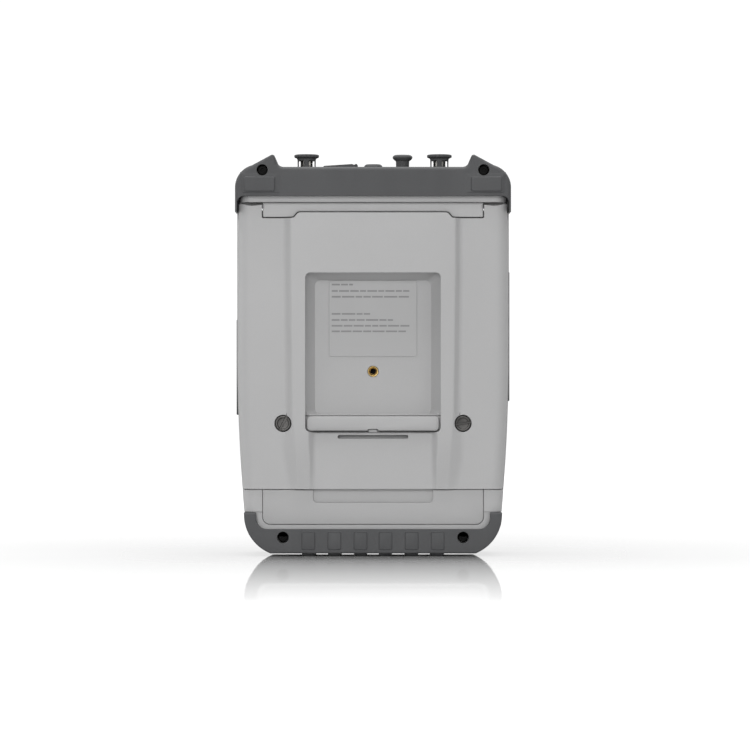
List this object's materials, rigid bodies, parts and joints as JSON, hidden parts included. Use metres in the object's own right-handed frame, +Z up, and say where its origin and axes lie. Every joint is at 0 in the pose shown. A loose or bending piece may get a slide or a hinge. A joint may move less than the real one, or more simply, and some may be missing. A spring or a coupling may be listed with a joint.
{
  "type": "vector network analyzer",
  "caption": "Handheld vector network analyzer standing upright, with dark end bumpers, capped coaxial test ports on top and a fold-out rear stand around a recessed tripod socket.",
  "frame": {"origin": "on the table plane, under the centre of the instrument's bounding box", "axes": "+Z up towards the test ports, +Y out of the rear where the stand is, -Y out of the screen"},
  "size_m": [0.1988, 0.07, 0.2908],
  "materials": {
    "light_plastic": "fine moulded texture, neutral light grey",
    "bumper_plastic": "dark grey soft-touch moulding",
    "dark_plastic": "matt",
    "black_rubber": "matt moulded rubber",
    "brass": "turned",
    "dark_steel": "dark, lightly worn",
    "steel": "satin",
    "connector_metal": "plated",
    "shield_metal": "cast, satin",
    "display_glass": "glossy dark display cover",
    "circuit_board": "green solder mask",
    "label_film": "matt film",
    "key_plastic": "matt"
  },
  "bodies": {
    "case": {"front_housing": "light_plastic", "rear_housing": "light_plastic", "hinge_bar": "light_plastic", "battery_cover": "light_plastic", "top_bumper": "bumper_plastic", "bottom_bumper": "bumper_plastic", "connector_panel": "dark_plastic", "battery_pack": "dark_plastic", "tripod_insert": "brass", "housing_screw_top_right": "dark_steel", "housing_screw_top_left": "dark_steel", "housing_screw_bottom_right": "dark_steel", "housing_screw_bottom_left": "dark_steel", "hinge_pin_right": "steel", "hinge_pin_left": "steel", "usb_socket": "steel", "lan_socket": "steel", "dc_inlet": "steel", "audio_jack": "steel", "dial_encoder": "steel", "port_1_connector": "connector_metal", "port_2_connector": "connector_metal", "bnc_connector": "connector_metal", "trigger_jack": "connector_metal", "rf_module": "shield_metal", "lcd_module": "shield_metal", "display_glass": "display_glass", "main_board": "circuit_board", "keypad_board": "circuit_board", "label_plate": "label_film"},
    "stand": {"stand": "light_plastic"},
    "jog_dial": {"jog_dial": "dark_plastic"},
    "cover_screw_right": {"cover_screw_right": "dark_steel"},
    "cover_screw_left": {"cover_screw_left": "dark_steel"},
    "port_1_cap": {"port_1_cap": "black_rubber"},
    "port_2_cap": {"port_2_cap": "black_rubber"},
    "bnc_cap": {"bnc_cap": "black_rubber"},
    "usb_cap": {"usb_cap": "black_rubber"},
    "trigger_jack_cap": {"trigger_jack_cap": "black_rubber"},
    "right_port_door": {"right_port_door": "black_rubber"},
    "left_port_door": {"left_port_door": "black_rubber"},
    "softkey_1": {"softkey_1": "key_plastic"},
    "softkey_2": {"softkey_2": "key_plastic"},
    "softkey_3": {"softkey_3": "key_plastic"},
    "softkey_4": {"softkey_4": "key_plastic"},
    "softkey_5": {"softkey_5": "key_plastic"},
    "softkey_6": {"softkey_6": "key_plastic"},
    "key_7": {"key_7": "key_plastic"},
    "key_8": {"key_8": "key_plastic"},
    "key_9": {"key_9": "key_plastic"},
    "key_4": {"key_4": "key_plastic"},
    "key_5": {"key_5": "key_plastic"},
    "key_6": {"key_6": "key_plastic"},
    "key_1": {"key_1": "key_plastic"},
    "key_2": {"key_2": "key_plastic"},
    "key_3": {"key_3": "key_plastic"},
    "key_0": {"key_0": "key_plastic"},
    "key_point": {"key_point": "key_plastic"},
    "key_sign": {"key_sign": "key_plastic"},
    "power_key": {"power_key": "key_plastic"}
  },
  "joints": [
    {"name": "stand_hinge", "type": "hinge", "parent": "case", "child": "stand", "pos_m": [0, 0.0265, 0.2496], "axis": [1, 0, 0], "range_deg": [0, 38]},
    {"name": "cover_screw_right_turn", "type": "hinge", "parent": "case", "child": "cover_screw_right", "pos_m": [0.0648, 0, 0.0955], "axis": [0, 1, 0], "range_deg": [0, 90]},
    {"name": "cover_screw_left_turn", "type": "hinge", "parent": "case", "child": "cover_screw_left", "pos_m": [-0.0648, 0, 0.0955], "axis": [0, 1, 0], "range_deg": [0, 90]},
    {"name": "jog_dial_spin", "type": "hinge", "parent": "case", "child": "jog_dial", "pos_m": [-0.047, -0.0313, 0.099], "axis": [0, -1, 0], "continuous": true},
    {"name": "port_1_cap_pull", "type": "slide", "parent": "case", "child": "port_1_cap", "axis": [0, 0, 1], "range_m": [0, 0.03]},
    {"name": "port_2_cap_pull", "type": "slide", "parent": "case", "child": "port_2_cap", "axis": [0, 0, 1], "range_m": [0, 0.03]},
    {"name": "bnc_cap_pull", "type": "slide", "parent": "case", "child": "bnc_cap", "axis": [0, 0, 1], "range_m": [0, 0.03]},
    {"name": "usb_cap_pull", "type": "slide", "parent": "case", "child": "usb_cap", "axis": [0, 0, 1], "range_m": [0, 0.03]},
    {"name": "trigger_jack_cap_pull", "type": "slide", "parent": "case", "child": "trigger_jack_cap", "axis": [0, 0, 1], "range_m": [0, 0.03]},
    {"name": "right_port_door_hinge", "type": "hinge", "parent": "case", "child": "right_port_door", "pos_m": [0.0989, -0.017, 0.136], "axis": [0, 0, -1], "range_deg": [0, 110]},
    {"name": "left_port_door_hinge", "type": "hinge", "parent": "case", "child": "left_port_door", "pos_m": [-0.0989, -0.017, 0.15825], "axis": [0, 0, 1], "range_deg": [0, 110]},
    {"name": "softkey_1_press", "type": "slide", "parent": "case", "child": "softkey_1", "axis": [0, 1, 0], "range_m": [0, 0.001], "stiffness_N_per_m": 400},
    {"name": "softkey_2_press", "type": "slide", "parent": "case", "child": "softkey_2", "axis": [0, 1, 0], "range_m": [0, 0.001], "stiffness_N_per_m": 400},
    {"name": "softkey_3_press", "type": "slide", "parent": "case", "child": "softkey_3", "axis": [0, 1, 0], "range_m": [0, 0.001], "stiffness_N_per_m": 400},
    {"name": "softkey_4_press", "type": "slide", "parent": "case", "child": "softkey_4", "axis": [0, 1, 0], "range_m": [0, 0.001], "stiffness_N_per_m": 400},
    {"name": "softkey_5_press", "type": "slide", "parent": "case", "child": "softkey_5", "axis": [0, 1, 0], "range_m": [0, 0.001], "stiffness_N_per_m": 400},
    {"name": "softkey_6_press", "type": "slide", "parent": "case", "child": "softkey_6", "axis": [0, 1, 0], "range_m": [0, 0.001], "stiffness_N_per_m": 400},
    {"name": "key_7_press", "type": "slide", "parent": "case", "child": "key_7", "axis": [0, 1, 0], "range_m": [0, 0.001], "stiffness_N_per_m": 400},
    {"name": "key_8_press", "type": "slide", "parent": "case", "child": "key_8", "axis": [0, 1, 0], "range_m": [0, 0.001], "stiffness_N_per_m": 400},
    {"name": "key_9_press", "type": "slide", "parent": "case", "child": "key_9", "axis": [0, 1, 0], "range_m": [0, 0.001], "stiffness_N_per_m": 400},
    {"name": "key_4_press", "type": "slide", "parent": "case", "child": "key_4", "axis": [0, 1, 0], "range_m": [0, 0.001], "stiffness_N_per_m": 400},
    {"name": "key_5_press", "type": "slide", "parent": "case", "child": "key_5", "axis": [0, 1, 0], "range_m": [0, 0.001], "stiffness_N_per_m": 400},
    {"name": "key_6_press", "type": "slide", "parent": "case", "child": "key_6", "axis": [0, 1, 0], "range_m": [0, 0.001], "stiffness_N_per_m": 400},
    {"name": "key_1_press", "type": "slide", "parent": "case", "child": "key_1", "axis": [0, 1, 0], "range_m": [0, 0.001], "stiffness_N_per_m": 400},
    {"name": "key_2_press", "type": "slide", "parent": "case", "child": "key_2", "axis": [0, 1, 0], "range_m": [0, 0.001], "stiffness_N_per_m": 400},
    {"name": "key_3_press", "type": "slide", "parent": "case", "child": "key_3", "axis": [0, 1, 0], "range_m": [0, 0.001], "stiffness_N_per_m": 400},
    {"name": "key_0_press", "type": "slide", "parent": "case", "child": "key_0", "axis": [0, 1, 0], "range_m": [0, 0.001], "stiffness_N_per_m": 400},
    {"name": "key_point_press", "type": "slide", "parent": "case", "child": "key_point", "axis": [0, 1, 0], "range_m": [0, 0.001], "stiffness_N_per_m": 400},
    {"name": "key_sign_press", "type": "slide", "parent": "case", "child": "key_sign", "axis": [0, 1, 0], "range_m": [0, 0.001], "stiffness_N_per_m": 400},
    {"name": "power_key_press", "type": "slide", "parent": "case", "child": "power_key", "axis": [0, 1, 0], "range_m": [0, 0.001], "stiffness_N_per_m": 400}
  ]
}
